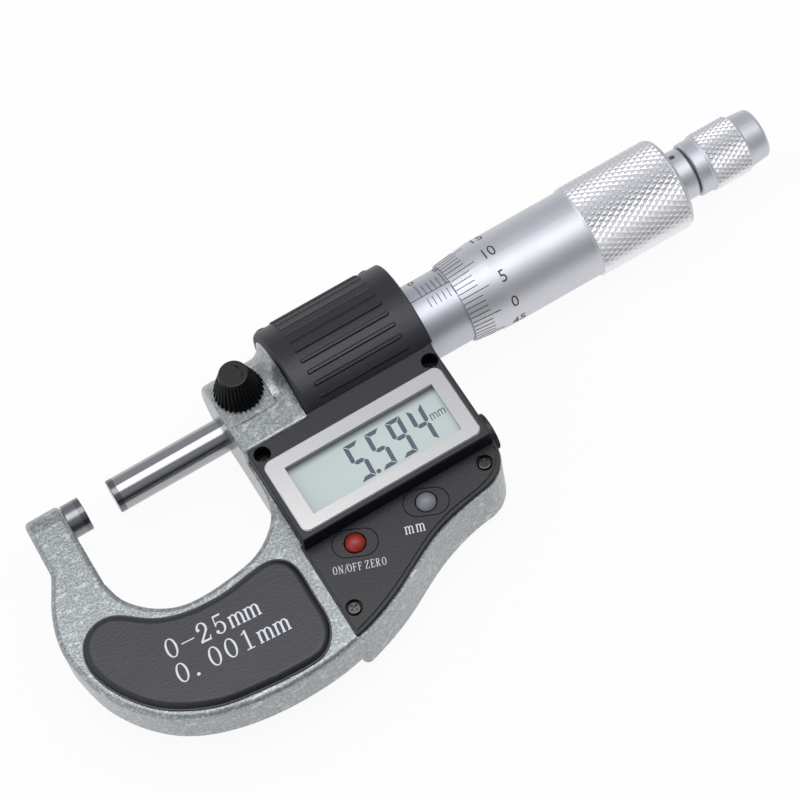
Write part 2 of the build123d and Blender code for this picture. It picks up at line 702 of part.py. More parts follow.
with BuildPart() as bezel:
    with BuildSketch(Plane.XY.offset(block_top)):
        with Locations(((bezel_x[0] + bezel_x[1]) / 2, (bezel_y[0] + bezel_y[1]) / 2)):
            RectangleRounded(bezel_x[1] - bezel_x[0], bezel_y[1] - bezel_y[0], 1.6)
    extrude(amount=bezel_top - block_top)
    chamfer(bezel.edges().group_by(Axis.Z)[-1], 0.22)
    with BuildSketch(Plane.XY.offset(lcd_top + 0.05)):
        with Locations(((window_x[0] + window_x[1]) / 2, (window_y[0] + window_y[1]) / 2)):
            Rectangle(window_x[1] - window_x[0] + 1.0, window_y[1] - window_y[0] + 1.0)
    extrude(amount=1.2)
    with BuildSketch(Plane.XY.offset(lcd_top - 1)):
        with Locations(((window_x[0] + window_x[1]) / 2, (window_y[0] + window_y[1]) / 2)):
            Rectangle(window_x[1] - window_x[0], window_y[1] - window_y[0])
    extrude(amount=4.0, mode=Mode.SUBTRACT)

bezel.part.label = "bezel"
export_step(bezel.part, "parts/bezel.step")

# Display glass, its contact strip, the board with its switches, and the cell

with BuildPart() as lcd:
    with BuildSketch(Plane.XY.offset(lcd_low)):
        with Locations((47.65, -21.3)):
            Rectangle(33.4, 14.2)
    extrude(amount=lcd_top - lcd_low)

lcd.part.label = "lcd"
export_step(lcd.part, "parts/lcd.step")

with BuildPart() as pcb:
    with BuildSketch(Plane.XY.offset(pcb_z[0])):
        Polygon((31.2, -13.8), (59.6, -13.8), (59.6, -33.4), (53.0, -35.0), (45.5, -38.2), (36.5, -42.4),
                (33.8, -42.4), (33.8, -41.0), (31.2, -41.0), align=None)
    extrude(amount=pcb_z[1] - pcb_z[0])

pcb.part.label = "pcb"
export_step(pcb.part, "parts/pcb.step")

with BuildPart() as zebra_strip:
    with BuildSketch(Plane.XY.offset(pcb_z[1])):
        with Locations((44.0, -27.4)):
            Rectangle(23.0, 1.5)
    extrude(amount=lcd_low - pcb_z[1])

zebra_strip.part.label = "zebra_strip"
export_step(zebra_strip.part, "parts/zebra_strip.step")

for name, at in (("switch_red", red_at), ("switch_grey", grey_at)):
    with BuildPart() as switch:
        with BuildSketch(Plane.XY.offset(pcb_z[1])):
            with Locations(at):
                Rectangle(3.0, 3.0)
        extrude(amount=1.3)
        with BuildSketch(Plane.XY.offset(pcb_z[1] + 1.3)):
            with Locations(at):
                Circle(0.8)
        extrude(amount=0.2)
    switch.part.label = name
    export_step(switch.part, "parts/" + name + ".step")

with BuildPart() as cell:
    with BuildSketch(Plane.YZ.offset(60.5)):
        with Locations((cap_y, cap_z)):
            Circle(cell_r)
    extrude(amount=4.2)
    fillet(cell.edges().group_by(Axis.X)[-1], 0.4)

cell.part.label = "cell"
export_step(cell.part, "parts/cell.step")

with BuildPart() as contact_spring:
    with BuildSketch(Plane.XZ.offset(29.0)):
        with BuildLine():
            Polyline((56.5, pcb_z[1]), (60.15, pcb_z[1]), (60.15, -3.4), (60.35, -3.4), (60.35, 1.0),
                     (56.5, 1.0), (56.5, pcb_z[1]))
        make_face()
    extrude(amount=-6.0)

contact_spring.part.label = "contact_spring"
export_step(contact_spring.part, "parts/contact_spring.step")

# Battery cap: a disc flush in the wall, a round boss with a coin slot, and its ring seal

with BuildPart() as battery_cap:
    with BuildSketch(Plane.YZ.offset(64.95)):
        with Locations((cap_y, cap_z)):
            Circle(cap_r)
    extrude(amount=1.45)
    with BuildSketch(Plane.YZ.offset(64.95)):
        with Locations((cap_y, cap_z)):
            Circle(cap_boss_r)
    extrude(amount=cap_out - 64.95)
    chamfer(battery_cap.edges().group_by(Axis.X)[-1], 0.15)
    with BuildSketch(Plane.YZ.offset(67.5)):
        with Locations(Location((cap_y, cap_z, 0), (0, 0, 20))):
            SlotOverall(5.4, 1.2)
    extrude(amount=2.0, mode=Mode.SUBTRACT)
    with BuildSketch(Plane.YZ.offset(65.5)):
        with Locations((cap_y, cap_z)):
            Circle(cap_r + 1)
            Circle(cap_r - 0.6, mode=Mode.SUBTRACT)
    extrude(amount=0.8, mode=Mode.SUBTRACT)

battery_cap.part.label = "battery_cap"
export_step(battery_cap.part, "parts/battery_cap.step")

with BuildPart() as cap_ring:
    with BuildSketch(Plane.YZ.offset(65.55)):
        with Locations((cap_y, cap_z)):
            Circle(cap_r)
            Circle(cap_r - 0.58, mode=Mode.SUBTRACT)
    extrude(amount=0.7)

cap_ring.part.label = "cap_ring"
export_step(cap_ring.part, "parts/cap_ring.step")

# Button inserts, held under the panel by a flange, and the two dome buttons

for name, at in (("insert_red", red_at), ("insert_grey", grey_at)):
    with BuildPart() as insert:
        with BuildSketch(Plane.XY.offset(3.4)):
            with Locations(Location((*at, 0), (0, 0, insert_turn))):
                SlotOverall(insert_len + 0.3, insert_w + 0.3)
        extrude(amount=rim_z - 0.05 - 3.4)
        with BuildSketch(Plane.XY.offset(3.4)):
            with Locations(Location((*at, 0), (0, 0, insert_turn))):
                SlotOverall(insert_len, insert_w)
        extrude(amount=panel_z - 3.4)
        with BuildSketch(Plane.XY.offset(3.0)):
            with Locations(at):
                Circle(button_hole_r)
        extrude(amount=3.0, mode=Mode.SUBTRACT)
    insert.part.label = name
    export_step(insert.part, "parts/" + name + ".step")

for name, at in (("button_red", red_at), ("button_grey", grey_at)):
    with BuildPart() as button:
        with BuildSketch(Plane.XZ.offset(-at[1])):
            with BuildLine():
                Polyline((at[0], 2.95), (at[0] + 2.7, 2.95), (at[0] + 2.7, 3.3), (at[0] + button_r, 3.3),
                         (at[0] + button_r, 5.5))
                dome = (button_r ** 2 + dome_h ** 2) / (2 * dome_h)
                RadiusArc((at[0] + button_r, 5.5), (at[0], 5.5 + dome_h), -dome)
                Line((at[0], 5.5 + dome_h), (at[0], 2.95))
            make_face()
        revolve(axis=Axis((at[0], at[1], 0), (0, 0, 1)))
    button.part.label = name
    export_step(button.part, "parts/" + name + ".step")

# Lock knob: fluted cone on a steel stem that bears on the spindle

with BuildPart() as lock_knob:
    with BuildSketch(Plane.XZ.offset(-lock_at[1])):
        with BuildLine():
            Polyline((lock_at[0], lock_base_z), (lock_at[0] + lock_base_r - 0.1, lock_base_z),
                     (lock_at[0] + lock_base_r, lock_base_z + 0.2), (lock_at[0] + lock_top_r, lock_top_z),
                     (lock_at[0], lock_top_z), (lock_at[0], lock_base_z))
        make_face()
    revolve(axis=Axis((lock_at[0], lock_at[1], 0), (0, 0, 1)))
    fillet(lock_knob.edges().group_by(Axis.Z)[-1], 0.25)
    # the flutes lean a little less than the cone, so that they are deep below and shallow above
    low = lock_base_r + flute_r - flute_depth[0]
    high = lock_top_r + flute_r - flute_depth[1]
    lean = (low - high) / (lock_top_z - lock_base_z)
    flute_planes = []
    for n in range(lock_flutes):
        turn = n * 360 / lock_flutes
        flute_planes.append(Plane(origin=(lock_at[0] + low * cosd(turn), lock_at[1] + low * sind(turn),
                                          lock_base_z - 0.1),
                                  z_dir=(-lean * cosd(turn), -lean * sind(turn), 1)))
    with BuildSketch(*flute_planes):
        Circle(flute_r)
    extrude(amount=6.4, mode=Mode.SUBTRACT)
    with Locations((lock_at[0], lock_at[1], lock_base_z + 1.0)):
        Cylinder(1.56, 4.0, mode=Mode.SUBTRACT)

lock_knob.part.label = "lock_knob"
export_step(lock_knob.part, "parts/lock_knob.step")

with BuildPart() as lock_stem:
    with BuildSketch(Plane.XY.offset(3.5)):
        with Locations(lock_at):
            Circle(1.55)
    extrude(amount=lock_base_z + 2.9 - 3.5)

lock_stem.part.label = "lock_stem"
export_step(lock_stem.part, "parts/lock_stem.step")

# Insulating grip plates on both faces of the bow: a thin edge, then a rounded shoulder to the flat

for name, face, up in (("grip_front", bow_half, 1), ("grip_back", -bow_half, -1)):
    with BuildPart() as grip:
        with BuildSketch(Plane.XY.offset(face)):
            with BuildLine():
                Spline(*grip_outline, periodic=True)
            make_face()
        extrude(amount=grip_shoulder[0][1] * up)
        for inset, height in grip_shoulder:
            with BuildSketch(Plane.XY.offset(face + height * up)):
                with BuildLine():
                    Spline(*moved_in(grip_outline, inset), periodic=True)
                make_face()
        loft()
    grip.part.label = name
    export_step(grip.part, "parts/" + name + ".step")
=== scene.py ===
# %% [markdown]
# # Digital outside micrometer: finishes, graduations and knurls
#
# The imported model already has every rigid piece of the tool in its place. This lesson dresses it.
# It gives each piece the finish that a maker would, and adds what is too fine for the solids: the
# diamond knurls, the graduation lines, the numbers, the segments of the display and the lettering.
# Blender measures in metres, and MM turns the millimetres of a drawing into them.

import bpy
import bmesh
import math
from mathutils import Matrix, Vector


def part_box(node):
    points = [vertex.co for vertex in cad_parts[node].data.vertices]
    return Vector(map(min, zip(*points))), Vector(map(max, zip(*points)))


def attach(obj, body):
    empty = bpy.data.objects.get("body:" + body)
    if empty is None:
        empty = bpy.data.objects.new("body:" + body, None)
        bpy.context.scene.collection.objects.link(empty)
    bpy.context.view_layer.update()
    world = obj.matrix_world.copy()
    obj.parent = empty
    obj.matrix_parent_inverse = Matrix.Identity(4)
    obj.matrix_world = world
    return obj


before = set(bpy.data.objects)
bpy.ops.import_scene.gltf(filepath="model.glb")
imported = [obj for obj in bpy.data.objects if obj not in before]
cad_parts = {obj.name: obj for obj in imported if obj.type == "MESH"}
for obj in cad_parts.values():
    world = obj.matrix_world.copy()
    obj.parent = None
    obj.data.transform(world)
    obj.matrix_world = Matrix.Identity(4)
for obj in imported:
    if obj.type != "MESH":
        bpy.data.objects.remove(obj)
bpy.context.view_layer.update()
MM = 0.001

# %% [markdown]
# ## Camera
#
# The photograph looks down on the display from the anvil's side with a long lens. A camera is fixed
# by where it stands and by three directions: right and up in the picture, and back towards itself.

# %% Set the camera
camera_data = bpy.data.cameras.new("camera")
camera_data.sensor_fit = "HORIZONTAL"
camera_data.sensor_width = 36.0
camera_data.lens = 130.5
camera = bpy.data.objects.new("camera", camera_data)
bpy.context.scene.collection.objects.link(camera)
camera_right = Vector((0.85881, -0.50182, -0.10307))
camera_up = Vector((0.49086, 0.74847, 0.44593))
camera_back = camera_right.cross(camera_up)
camera_place = Vector((-0.017596, -0.23459, 0.457728))
camera_turn = Matrix((camera_right, camera_up, camera_back)).transposed().to_4x4()
camera.matrix_world = Matrix.Translation(camera_place) @ camera_turn
bpy.context.scene.camera = camera
print("camera looks along", [round(v, 3) for v in -camera_back])

# %% [markdown]
# ## Colours and nodes
#
# Colours are written as the hex codes that a paint chart gives, which are sRGB, while the renderer
# wants linear light. One function turns the one into the other. A second adds a shader node with its
# settings and links, so that a material reads as a short recipe.

# %% Helpers for materials
def hex_colour(code):
    """A hex code such as '8C9292' as linear red, green, blue and alpha."""
    parts = [int(code[i:i + 2], 16) / 255 for i in (0, 2, 4)]
    return [c / 12.92 if c <= 0.04045 else ((c + 0.055) / 1.055) ** 2.4 for c in parts] + [1.0]


def add_node(owner, kind, inputs=None, **settings):
    """Adds a node to a material or the world. An input's value is a number or colour to set, or another
    node's socket to link."""
    tree = owner.node_tree
    made = tree.nodes.new(kind)
    for name, value in settings.items():
        setattr(made, name, value)
    for key, value in (inputs or {}).items():
        if isinstance(value, bpy.types.NodeSocket):
            tree.links.new(value, made.inputs[key])
        else:
            made.inputs[key].default_value = value
    return made


def new_material(name):
    """An empty node material with its Object coordinates and its output ready."""
    material = bpy.data.materials.new(name)
    material.use_nodes = True
    material.node_tree.nodes.clear()
    coordinates = add_node(material, "ShaderNodeTexCoord").outputs["Object"]
    output = add_node(material, "ShaderNodeOutputMaterial")
    return material, coordinates, output


def colour_ramp(ramp, stops):
    """Gives a colour ramp node its stops, as places and hex codes."""
    elements = ramp.color_ramp.elements
    while len(elements) < len(stops):
        elements.new(0.5)
    for element, (place, code) in zip(elements, stops):
        element.position = place
        element.color = hex_colour(code)


def finish(material, output, shader):
    """Joins the shader to the material's output and hands the material back."""
    material.node_tree.links.new(shader.outputs["BSDF"], output.inputs["Surface"])
    return material


# %% [markdown]
# ## Hammertone enamel
#
# The frame is a casting sprayed with hammertone paint: a metallic enamel whose silicone makes it draw
# up into small pebbles, about 0.45 mm wide. Brighter flecks, 2 mm long and 1 mm wide, lie over them.
# Noise makes both, because the paint has no regular cells. Their sum picks the colour and also drives a
# low bump, because pebbles and flecks stand a few hundredths of a millimetre proud.

# %% Hammertone enamel
def hammertone_enamel():
    material, place, output = new_material("hammertone_enamel")
    pebble = add_node(material, "ShaderNodeTexNoise",
                      {"Vector": place, "Scale": 2300.0, "Detail": 2.0, "Roughness": 0.6})
    drawn = add_node(material, "ShaderNodeMapping", {"Vector": place, "Scale": (0.6, 1.2, 1.0)})
    patch = add_node(material, "ShaderNodeTexNoise",
                     {"Vector": drawn.outputs["Vector"], "Scale": 850.0, "Detail": 1.0})
    fleck = add_node(material, "ShaderNodeMapRange",
                     {"Value": patch.outputs["Fac"], "From Min": 0.55, "From Max": 0.70, "To Min": 0.0,
                      "To Max": 0.18}, interpolation_type="SMOOTHSTEP")
    level = add_node(material, "ShaderNodeMath", {0: pebble.outputs["Fac"], 1: fleck.outputs["Result"]},
                     operation="ADD")
    ramp = add_node(material, "ShaderNodeValToRGB", {"Fac": level.outputs[0]})
    colour_ramp(ramp, [(0.36, "868A8C"), (0.52, "9A9EA0"), (0.75, "BFC3C5")])
    bump = add_node(material, "ShaderNodeBump",
                    {"Height": level.outputs[0], "Distance": 0.07 * MM, "Strength": 0.5})
    shader = add_node(material, "ShaderNodeBsdfPrincipled",
                      {"Base Color": ramp.outputs["Color"], "Metallic": 0.6, "Roughness": 0.30,
                       "Normal": bump.outputs["Normal"]})
    return finish(material, output, shader)


enamel = hammertone_enamel()
print("made", enamel.name)

# %% [markdown]
# ## Moulded plastics
#
# The display block, the ribbed cover and the grips are charcoal ABS, moulded in a finely etched cavity, so
# they shine softly and no reflection is sharp. The grain of the grips is drawn out along their lettering. The
# buttons come from a smoother mould. Faces that lean away from the top are given a weaker reflection, a
# painted shade that makes the walls darker. One recipe serves all the plastics.

# %% Moulded plastics
LETTERING_TURN = -3.6  # how the words on the grip run, in degrees from X


def moulded_plastic(name, code, roughness, grain=0.4, grain_depth=0.012, drawn=1.0, shine=0.5, edge=0.1):
    """ABS in one colour. grain and grain_depth are the etched texture's size and depth in mm, and drawn is
    how much longer it is along the lettering. shine is the reflection of faces that look up. Where the upward
    part of a face's normal is under edge, the reflection is weak, a painted shade that darkens the walls."""
    material, place, output = new_material(name)
    laid = add_node(material, "ShaderNodeMapping",
                    {"Vector": place, "Rotation": (0.0, 0.0, math.radians(LETTERING_TURN)),
                     "Scale": (drawn, 1.0, 1.0)}, vector_type="TEXTURE")
    etch = add_node(material, "ShaderNodeTexNoise",
                    {"Vector": laid.outputs["Vector"], "Scale": 1 / (grain * MM), "Detail": 2.0})
    bump = add_node(material, "ShaderNodeBump",
                    {"Height": etch.outputs["Fac"], "Distance": grain_depth * MM, "Strength": 0.6})
    cloud = add_node(material, "ShaderNodeTexNoise", {"Vector": place, "Scale": 120.0, "Detail": 3.0})
    sheen = add_node(material, "ShaderNodeMapRange",
                     {"Value": cloud.outputs["Fac"], "To Min": roughness - 0.04, "To Max": roughness + 0.04})
    facing = add_node(material, "ShaderNodeNewGeometry")
    normal = add_node(material, "ShaderNodeSeparateXYZ", {"Vector": facing.outputs["Normal"]})
    # Painted shade: the reflection strength follows how far a face looks up, so walls and flanks come out
    # darker.
    painted_shade_gloss = add_node(material, "ShaderNodeMapRange",
                     {"Value": normal.outputs["Z"], "From Min": edge, "From Max": edge / 2 + 0.85,
                      "To Min": 0.04, "To Max": shine})
    shader = add_node(material, "ShaderNodeBsdfPrincipled",
                      {"Base Color": hex_colour(code), "Roughness": sheen.outputs["Result"], "IOR": 1.53,
                       "Specular IOR Level": painted_shade_gloss.outputs["Result"], "Normal": bump.outputs["Normal"]})
    return finish(material, output, shader)


charcoal_abs = moulded_plastic("charcoal_abs", "15151E", 0.43, grain_depth=0.06, shine=0.58)
grip_abs = moulded_plastic("grip_abs", "191924", 0.37, grain=0.3, grain_depth=0.06, drawn=4.0,
                           shine=0.64, edge=0.3)
knob_abs = moulded_plastic("knob_abs", "060608", 0.32, grain=0.45, grain_depth=0.03)
red_abs = moulded_plastic("red_abs", "9C2F26", 0.40, grain=0.3, grain_depth=0.003)
grey_abs = moulded_plastic("grey_abs", "81858E", 0.40, grain=0.3, grain_depth=0.003)
print("made five plastics")

# %% [markdown]
# ## Metals
#
# The thimble, sleeve and ratchet are steel with satin chrome, blasted and then plated, so the whole
# surface glows evenly. The knurls are brighter and the sleeve is duller. The spindle is ground and
# polished, the anvil is ground only, and their lapped carbide tips are darker. Screws are black oxide.

# %% Metals
def turned_metal(name, code, roughness, line=0.12, line_depth=0.002):
    """A metal with fine lines left by turning round X. line and line_depth are their spacing and depth
    in mm. The noise is drawn out fifty times round the axis, so that it reads as lines."""
    material, place, output = new_material(name)
    stretched = add_node(material, "ShaderNodeMapping", {"Vector": place, "Scale": (1.0, 0.02, 0.02)})
    lines = add_node(material, "ShaderNodeTexNoise",
                     {"Vector": stretched.outputs["Vector"], "Scale": 1 / (line * MM), "Detail": 3.0})
    bump = add_node(material, "ShaderNodeBump",
                    {"Height": lines.outputs["Fac"], "Distance": line_depth * MM, "Strength": 0.5})
    cloud = add_node(material, "ShaderNodeTexNoise", {"Vector": place, "Scale": 200.0, "Detail": 4.0})
    haze = add_node(material, "ShaderNodeMapRange",
                    {"Value": cloud.outputs["Fac"], "To Min": roughness * 0.9, "To Max": roughness * 1.1})
    shader = add_node(material, "ShaderNodeBsdfPrincipled",
                      {"Base Color": hex_colour(code), "Metallic": 1.0, "Roughness": haze.outputs["Result"],
                       "Normal": bump.outputs["Normal"]})
    return finish(material, output, shader)


satin_chrome = turned_metal("satin_chrome", "D4D5DB", 0.50)
knurl_chrome = turned_metal("knurl_chrome", "F0F0F3", 0.38)
sleeve_chrome = turned_metal("sleeve_chrome", "C6C7CF", 0.46)
ground_steel = turned_metal("ground_steel", "A6A6A9", 0.15, line=0.08, line_depth=0.001)
anvil_steel = turned_metal("anvil_steel", "8C8C90", 0.27, line=0.1)
lapped_carbide = turned_metal("lapped_carbide", "77777B", 0.22)
plain_steel = turned_metal("plain_steel", "A9AAAE", 0.3)
black_oxide = turned_metal("black_oxide", "55524F", 0.19)
bush_brass = turned_metal("bush_brass", "B99A5B", 0.3)
print("made nine metals")

# %% [markdown]
# ## Display, board and small parts
#
# The bezel is plastic with a silver lacquer. The display is a grey-green reflective cell under clear glass.
# Its colour is painted darker along its upper edge, a painted shadow of the window's upper rim. The board,
# the contact strip and the seal are hidden, but an opened or cut model shows them.

# %% Lacquer, display and hidden materials
def silver_lacquer():
    material, place, output = new_material("silver_lacquer")
    flake = add_node(material, "ShaderNodeTexNoise", {"Vector": place, "Scale": 9000.0, "Detail": 1.0})
    sheen = add_node(material, "ShaderNodeMapRange",
                     {"Value": flake.outputs["Fac"], "To Min": 0.27, "To Max": 0.285})
    shader = add_node(material, "ShaderNodeBsdfPrincipled",
                      {"Base Color": hex_colour("CFCECE"), "Metallic": 0.9,
                       "Roughness": sheen.outputs["Result"]})
    return finish(material, output, shader)


def display_cell():
    material, place, output = new_material("display_cell")
    cloud = add_node(material, "ShaderNodeTexNoise", {"Vector": place, "Scale": 60.0, "Detail": 1.0})
    ramp = add_node(material, "ShaderNodeValToRGB", {"Fac": cloud.outputs["Fac"]})
    colour_ramp(ramp, [(0.3, "C2CDCB"), (0.7, "C8D3D1")])
    spot = add_node(material, "ShaderNodeSeparateXYZ", {0: place})
    # Painted shadow: the cell's colour is scaled down towards its upper edge, as if the window's rim shaded
    # it.
    painted_rim_shadow = add_node(material, "ShaderNodeMapRange",
                         {"Value": spot.outputs["Y"], "From Min": -17.9 * MM, "From Max": -16.2 * MM,
                          "To Min": 1.0, "To Max": 0.2}, interpolation_type="SMOOTHSTEP")
    cell = add_node(material, "ShaderNodeVectorMath",
                    {0: ramp.outputs["Color"], "Scale": painted_rim_shadow.outputs["Result"]}, operation="SCALE")
    shader = add_node(material, "ShaderNodeBsdfPrincipled",
                      {"Base Color": cell.outputs["Vector"], "Roughness": 0.45, "Coat Weight": 0.3,
                       "Coat Roughness": 0.12})
    return finish(material, output, shader)


silver = silver_lacquer()
display = display_cell()
board_resist = moulded_plastic("board_resist", "1E4A2C", 0.35)
silicone = moulded_plastic("silicone", "8C8C90", 0.6)
seal_rubber = moulded_plastic("seal_rubber", "101010", 0.6)
print("made", silver.name, "and", display.name)

# %% [markdown]
# ## Give the solids their finishes
#
# Every solid keeps its shape and only takes a better material.

# %% Dress the solids
finishes = {
    enamel: ["frame"],
    grip_abs: ["grip_front", "grip_back"],
    charcoal_abs: ["front_cover", "cover", "insert_red", "insert_grey", "battery_cap",
                   "switch_red", "switch_grey"],
    knob_abs: ["lock_knob"],
    red_abs: ["button_red"],
    grey_abs: ["button_grey"],
    satin_chrome: ["thimble", "ratchet_knob", "ratchet_stem"],
    sleeve_chrome: ["sleeve"],
    ground_steel: ["spindle"],
    anvil_steel: ["anvil"],
    lapped_carbide: ["anvil_tip", "spindle_tip"],
    plain_steel: ["inner_tube", "adjusting_nut", "lock_stem", "ratchet_pawl", "ratchet_spring", "cell",
                  "contact_spring"],
    black_oxide: ["front_screws", "cover_screws", "flange_screws", "ratchet_screw"],
    bush_brass: ["rotor_bush"],
    silver: ["bezel"],
    display: ["lcd"],
    board_resist: ["pcb", "stator", "rotor"],
    silicone: ["zebra_strip"],
    seal_rubber: ["cap_ring"],
}
for material, names in finishes.items():
    for name in names:
        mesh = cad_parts[name].data
        mesh.materials.clear()
        mesh.materials.append(material)
left_out = set(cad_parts) - {name for names in finishes.values() for name in names}
print("solids without a finish:", sorted(left_out))

# %% [markdown]
# ## Rolling flat work round the X axis
#
# Knurls and graduations are easiest to draw flat, as on paper, with X along the tool and Y up the
# paper. Rolling the paper round the axis then puts them on the steel. Flat X stays X, flat Y becomes
# an angle, and flat Z becomes the height above the surface. A bmesh holds the flat work in
# millimetres, until it becomes a piece that rides on its body.

# %% Helpers that cut, roll up and make a piece
def cut(sheet, point, way, drop=True):
    """Cuts flat work along a line and drops the side that way points to, unless drop is False."""
    bmesh.ops.bisect_plane(sheet, geom=sheet.verts[:] + sheet.edges[:] + sheet.faces[:], plane_co=point,
                           plane_no=way, clear_outer=drop)


def wrap(sheet, radius_at, roll_radius, angle):
    """Rolls flat work round the X axis. Flat Y 0 lands at the angle, which runs from +Y to +Z."""
    for vert in sheet.verts:
        x, y, height = vert.co
        turn = math.radians(angle) - y / roll_radius
        radius = radius_at(x) + height
        vert.co = Vector((x, radius * math.cos(turn), radius * math.sin(turn)))


def make_piece(name, sheet, material, body):
    """Turns a bmesh in millimetres into a piece that rides on a body."""
    bmesh.ops.recalc_face_normals(sheet, faces=sheet.faces)
    bmesh.ops.scale(sheet, vec=(MM, MM, MM), verts=sheet.verts)
    open_edges = sum(1 for edge in sheet.edges if not edge.is_manifold)
    mesh = bpy.data.meshes.new(name)
    sheet.to_mesh(mesh)
    sheet.free()
    mesh.materials.append(material)
    piece = bpy.data.objects.new(name, mesh)
    bpy.context.scene.collection.objects.link(piece)
    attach(piece, body)
    print(name, len(mesh.polygons), "faces,", open_edges, "open edges")
    return piece


# %% [markdown]
# ## Diamond knurls
#
# A knurling wheel presses two families of grooves into the bar, 30 degrees to either side of the
# axis, and leaves small pyramids between them. Here one grid is skewed until its squares are those
# diamonds, every diamond is inset and raised, the band is trimmed to one turn and rolled up. The
# thimble has 48 diamonds round it, the smaller ratchet 37.

# %% Diamond knurls
LENGTHENED = 1.69  # a diamond's length over its width
FLANK = 0.72  # the share of its half width that slopes
RING_DEPTH = 0.4  # how far the ring goes into the bar, in mm


def knurl(name, left, right, root, crest, round_count, body):
    """A knurled ring from left to right, between the radii of its grooves and of its points, in mm."""
    girth = 2 * math.pi * crest
    half_round = girth / round_count / 2
    half_along = half_round * LENGTHENED
    columns = int((right - left) / half_along) + 4
    cells = (columns + 2 * round_count) // 2 + 4
    sheet = bmesh.new()
    bmesh.ops.create_grid(sheet, x_segments=cells, y_segments=cells, size=cells / 2)
    skew = Matrix(((half_along, half_along, 0, 0), (half_round, -half_round, 0, 0), (0, 0, 1, 0),
                   (0, 0, 0, 1)))
    middle_column = columns // 2 // 2 * 2
    centre = Matrix.Translation((left + middle_column * half_along, girth / 2, 0))
    bmesh.ops.transform(sheet, matrix=centre @ skew, verts=sheet.verts)
    borders = (((left, 0, 0), (-1, 0, 0)), ((right, 0, 0), (1, 0, 0)), ((0, 0, 0), (0, -1, 0)),
               ((0, girth, 0), (0, 1, 0)))
    for point, way in borders:
        cut(sheet, Vector(point) + Vector(way) * (2 * half_along), way)
    bmesh.ops.recalc_face_normals(sheet, faces=sheet.faces)
    if sheet.faces[0].normal.z < 0:
        bmesh.ops.reverse_faces(sheet, faces=sheet.faces)
    bmesh.ops.inset_individual(sheet, faces=sheet.faces, thickness=half_round * FLANK, depth=crest - root,
                               use_even_offset=True)
    for point, way in borders:
        cut(sheet, point, way)
    wrap(sheet, lambda x: root, crest, 0)
    bmesh.ops.remove_doubles(sheet, verts=sheet.verts, dist=0.002)
    rims = [edge for edge in sheet.edges if edge.is_boundary]
    walls = bmesh.ops.extrude_edge_only(sheet, edges=rims)["geom"]
    for vert in (item for item in walls if isinstance(item, bmesh.types.BMVert)):
        vert.co = Vector((vert.co.x, *(Vector(vert.co.yz).normalized() * (root - RING_DEPTH))))
    bmesh.ops.bridge_loops(sheet, edges=[edge for edge in sheet.edges if edge.is_boundary])
    return make_piece(name, sheet, knurl_chrome, body)


knurl("thimble_knurl", left=102.35, right=120.9, root=8.75, crest=8.97, round_count=48, body="spindle")
knurl("ratchet_knurl", left=128.7, right=136.1, root=5.5, crest=5.7, round_count=37, body="ratchet")

# %% [markdown]
# ## Marks on steel
#
# Lines and numbers are engraved and filled with dark lacquer, level with the steel. Lacquer has next to
# no thickness, so here a mark is a sheet 0.03 mm thick. It lies 0.02 mm clear of the steel, where the
# two can't flicker. Lines are rectangles and numbers are type. Both are cut into narrow strips before
# they are rolled up, so that they bend smoothly.

# %% Helpers for marks on steel
MARK_CLEARANCE = 0.02  # in mm, like all sizes on flat work
MARK_THICKNESS = 0.03


def bar(sheet, left, right, low, high):
    """Adds a flat rectangle, in millimetres, to a bmesh."""
    place = Matrix.Translation(((left + right) / 2, (low + high) / 2, 0))
    size = Matrix.Diagonal((right - left, high - low, 1, 1))
    bmesh.ops.create_grid(sheet, x_segments=1, y_segments=1, size=0.5, matrix=place @ size)


def print_text(sheet, words, size, centre, stretch=1.0, lean=0.0):
    """Adds words in Blender's own sans serif, size in mm, centred on a flat point."""
    curve = bpy.data.curves.new("words", "FONT")
    curve.body = words
    curve.size = size
    curve.align_x = "CENTER"
    curve.align_y = "CENTER"
    curve.resolution_u = 4
    text = bpy.data.objects.new("words", curve)
    bpy.context.scene.collection.objects.link(text)
    mesh = bpy.data.meshes.new_from_object(text)
    slant = Matrix(((stretch, lean, 0, 0), (0, 1, 0, 0), (0, 0, 1, 0), (0, 0, 0, 1)))
    mesh.transform(Matrix.Translation((*centre, 0)) @ slant)
    sheet.from_mesh(mesh)
    bpy.data.objects.remove(text)
    bpy.data.curves.remove(curve)
    bpy.data.meshes.remove(mesh)


def slice_across(sheet, low, high, step):
    """Cuts flat work into strips, so that it bends smoothly round the axis."""
    for number in range(1, int((high - low) / step)):
        cut(sheet, (0, low + number * step, 0), (0, 1, 0), drop=False)


def filled_ink(name, code):
    """A lacquer or ink in one colour: matt, with a sheen that is a little uneven."""
    material, place, output = new_material(name)
    uneven = add_node(material, "ShaderNodeTexNoise", {"Vector": place, "Scale": 2500.0, "Detail": 2.0})
    sheen = add_node(material, "ShaderNodeMapRange",
                     {"Value": uneven.outputs["Fac"], "To Min": 0.5, "To Max": 0.7})
    shader = add_node(material, "ShaderNodeBsdfPrincipled",
                      {"Base Color": hex_colour(code), "Roughness": sheen.outputs["Result"]})
    return finish(material, output, shader)


scale_ink = filled_ink("engraving_lacquer", "45433D")


def roll_marks(name, sheet, strips, radius_at, roll_radius, angle, body):
    """Rolls flat marks onto the steel as a piece. strips are the lowest and highest cut and their step."""
    slice_across(sheet, *strips)
    bmesh.ops.translate(sheet, vec=(0, 0, MARK_CLEARANCE), verts=sheet.verts)
    wrap(sheet, radius_at, roll_radius, angle)
    bmesh.ops.solidify(sheet, geom=sheet.faces, thickness=MARK_THICKNESS)
    return make_piece(name, sheet, scale_ink, body)


# %% [markdown]
# ## Sleeve graduations
#
# A line runs along the sleeve, with a mark every millimetre above it and the half millimetres below.
# Every fifth mark is longer and has a number. Heights on the sleeve are given as angles, as on the
# drawing of a round part, and arc turns them into millimetres.

